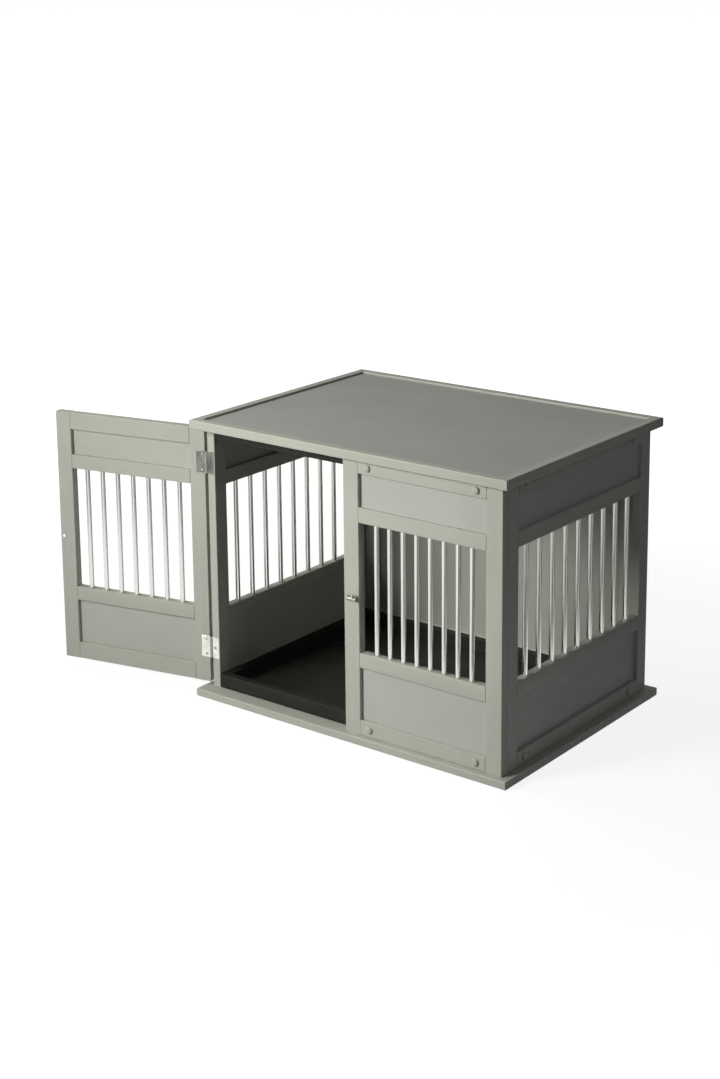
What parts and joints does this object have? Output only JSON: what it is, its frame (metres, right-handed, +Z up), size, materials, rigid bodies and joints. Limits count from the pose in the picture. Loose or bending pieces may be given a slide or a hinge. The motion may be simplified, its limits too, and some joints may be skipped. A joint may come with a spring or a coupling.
{
  "type": "dog crate end table",
  "caption": "Wooden crate that doubles as a side table: framed panels with upright steel bars, a hinged door with a slide bolt, a rimmed table top and a base board.",
  "frame": {"origin": "on the floor, under the middle of the base board's underside", "axes": "+X along the front to the right as seen from the front, -Y towards the front with the door, +Z up"},
  "size_m": [1.1052, 0.6067, 0.588],
  "materials": {
    "painted_wood": "satin grey paint with faint directional grain",
    "dark_wood": "dark brown-black matt stain",
    "polished_steel": "polished",
    "nickel": "satin nickel plate"
  },
  "bodies": {
    "crate": {"top_front_rim": "painted_wood", "top_right_rim": "painted_wood", "top_back_rim": "painted_wood", "top_left_rim": "painted_wood", "table_top_panel": "painted_wood", "top_cleat_front": "dark_wood", "top_cleat_back": "dark_wood", "top_cleat_left": "dark_wood", "top_cleat_right": "dark_wood", "base_board": "painted_wood", "floor_panel": "dark_wood", "base_cleat_front": "dark_wood", "base_cleat_back": "dark_wood", "base_cleat_left": "dark_wood", "base_cleat_right": "dark_wood", "front_centre_stile": "painted_wood", "front_right_stile": "painted_wood", "front_bottom_rail": "painted_wood", "front_lower_panel": "painted_wood", "front_lower_bar_rail_with_bars": "painted_wood", "front_upper_bar_rail": "painted_wood", "front_upper_panel": "painted_wood", "front_top_rail": "painted_wood", "right_side_front_stile": "painted_wood", "right_side_rear_stile": "painted_wood", "right_side_bottom_rail": "painted_wood", "right_side_lower_panel": "painted_wood", "right_side_lower_bar_rail_with_bars": "painted_wood", "right_side_upper_bar_rail": "painted_wood", "right_side_upper_panel": "painted_wood", "right_side_top_rail": "painted_wood", "left_side_front_stile": "painted_wood", "left_side_rear_stile": "painted_wood", "left_side_bottom_rail": "painted_wood", "left_side_lower_panel": "painted_wood", "left_side_lower_bar_rail_with_bars": "painted_wood", "left_side_upper_bar_rail": "painted_wood", "left_side_upper_panel": "painted_wood", "left_side_top_rail": "painted_wood", "back_left_stile": "painted_wood", "back_right_stile": "painted_wood", "back_bottom_rail": "painted_wood", "back_panel": "painted_wood", "back_top_rail": "painted_wood", "upper_hinge_post_leaf": "nickel", "lower_hinge_post_leaf": "nickel", "latch_plate": "nickel"},
    "door": {"door_hinge_stile": "painted_wood", "door_free_stile": "painted_wood", "door_bottom_rail": "painted_wood", "door_lower_panel": "painted_wood", "door_lower_bar_rail_with_bars": "painted_wood", "door_upper_bar_rail": "painted_wood", "door_upper_panel": "painted_wood", "door_top_rail": "painted_wood", "upper_hinge_door_leaf": "nickel", "lower_hinge_door_leaf": "nickel", "latch_keeper": "nickel"},
    "latch": {"latch_bolt": "polished_steel"}
  },
  "joints": [
    {"name": "door_hinge", "type": "hinge", "parent": "crate", "child": "door", "pos_m": [-0.3663, -0.24935, 0], "axis": [0, 0, 1], "range_deg": [-24, 168]},
    {"name": "latch_slide", "type": "slide", "parent": "crate", "child": "latch", "axis": [-1, 0, 0], "range_m": [0, 0.018]}
  ]
}
